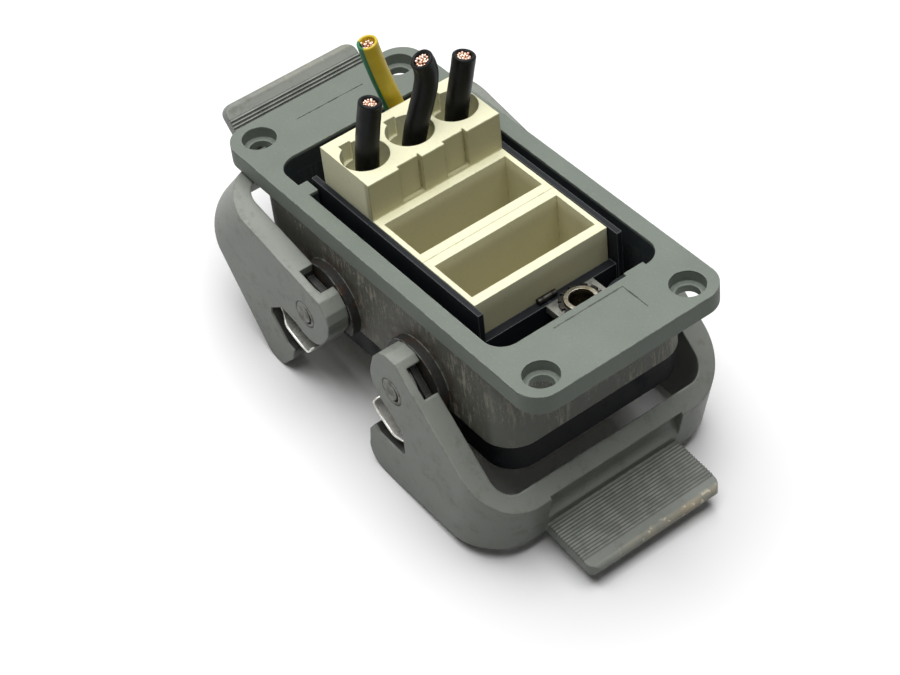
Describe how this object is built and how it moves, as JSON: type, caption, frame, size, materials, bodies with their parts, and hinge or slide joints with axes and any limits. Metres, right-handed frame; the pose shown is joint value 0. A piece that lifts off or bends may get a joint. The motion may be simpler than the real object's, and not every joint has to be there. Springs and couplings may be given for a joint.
{
  "type": "rectangular connector",
  "caption": "Heavy duty rectangular connector: flanged metal bulkhead housing with locking levers, module frame, power and blank modules, and cut wires.",
  "frame": {"origin": "centre of the flange's panel face, which is also the centre of its four mounting holes", "axes": "+Z out of the panel face, away from the mating side; +X along the housing towards the closed lever; +Y across it"},
  "size_m": [0.1078, 0.0562, 0.0693],
  "materials": {
    "housing_paint": "satin paint, scuffed",
    "seal_rubber": "matte",
    "pin_steel": "satin",
    "lever_metal": "smooth satin",
    "spring_steel": "bright",
    "frame_zinc": "die-cast, dull",
    "dark_steel": "dark",
    "screw_steel": "zinc plated",
    "plated_steel": "zinc plated",
    "collar_metal": "bright",
    "washer_steel": "dark",
    "module_plastic": "matte moulded",
    "contact_brass": "plated",
    "black_insulation": "satin",
    "copper_strands": "cut strands",
    "earth_insulation": "satin, green stripe"
  },
  "bodies": {
    "housing": {"housing_shell": "housing_paint", "rim_seal": "seal_rubber", "pivot_pin_front_near": "pin_steel", "pivot_pin_front_far": "pin_steel", "pivot_pin_rear_near": "pin_steel", "pivot_pin_rear_far": "pin_steel", "frame_half_near": "frame_zinc", "frame_half_far": "frame_zinc", "frame_latch": "dark_steel", "frame_hinge": "dark_steel", "frame_screws": "screw_steel", "earth_plate_front": "plated_steel", "earth_collar_front": "collar_metal", "earth_washer_front": "washer_steel", "earth_plate_rear": "plated_steel", "earth_saddle_rear": "plated_steel", "earth_screw_rear": "screw_steel", "power_module_body": "module_plastic", "contact_near": "contact_brass", "contact_mid": "contact_brass", "contact_far": "contact_brass", "axial_screw_near": "screw_steel", "axial_screw_mid": "screw_steel", "axial_screw_far": "screw_steel", "blank_module_mid": "module_plastic", "blank_module_front": "module_plastic", "black_wire_near": "black_insulation", "black_wire_mid": "black_insulation", "black_wire_far": "black_insulation", "wire_core_near": "copper_strands", "wire_core_mid": "copper_strands", "wire_core_far": "copper_strands", "earth_wire": "earth_insulation", "earth_wire_core": "copper_strands"},
    "front_lever": {"front_lever": "lever_metal", "front_lever_spring_near": "spring_steel", "front_lever_spring_far": "spring_steel"},
    "rear_lever": {"rear_lever": "lever_metal", "rear_lever_spring_near": "spring_steel", "rear_lever_spring_far": "spring_steel"}
  },
  "joints": [
    {"name": "front_lever_hinge", "type": "hinge", "parent": "housing", "child": "front_lever", "pos_m": [0.01325, 0, -0.0174], "axis": [0, -1, 0], "range_deg": [0, 54]},
    {"name": "rear_lever_hinge", "type": "hinge", "parent": "housing", "child": "rear_lever", "pos_m": [-0.01325, 0, -0.0174], "axis": [0, 1, 0], "range_deg": [-54, 0]}
  ]
}
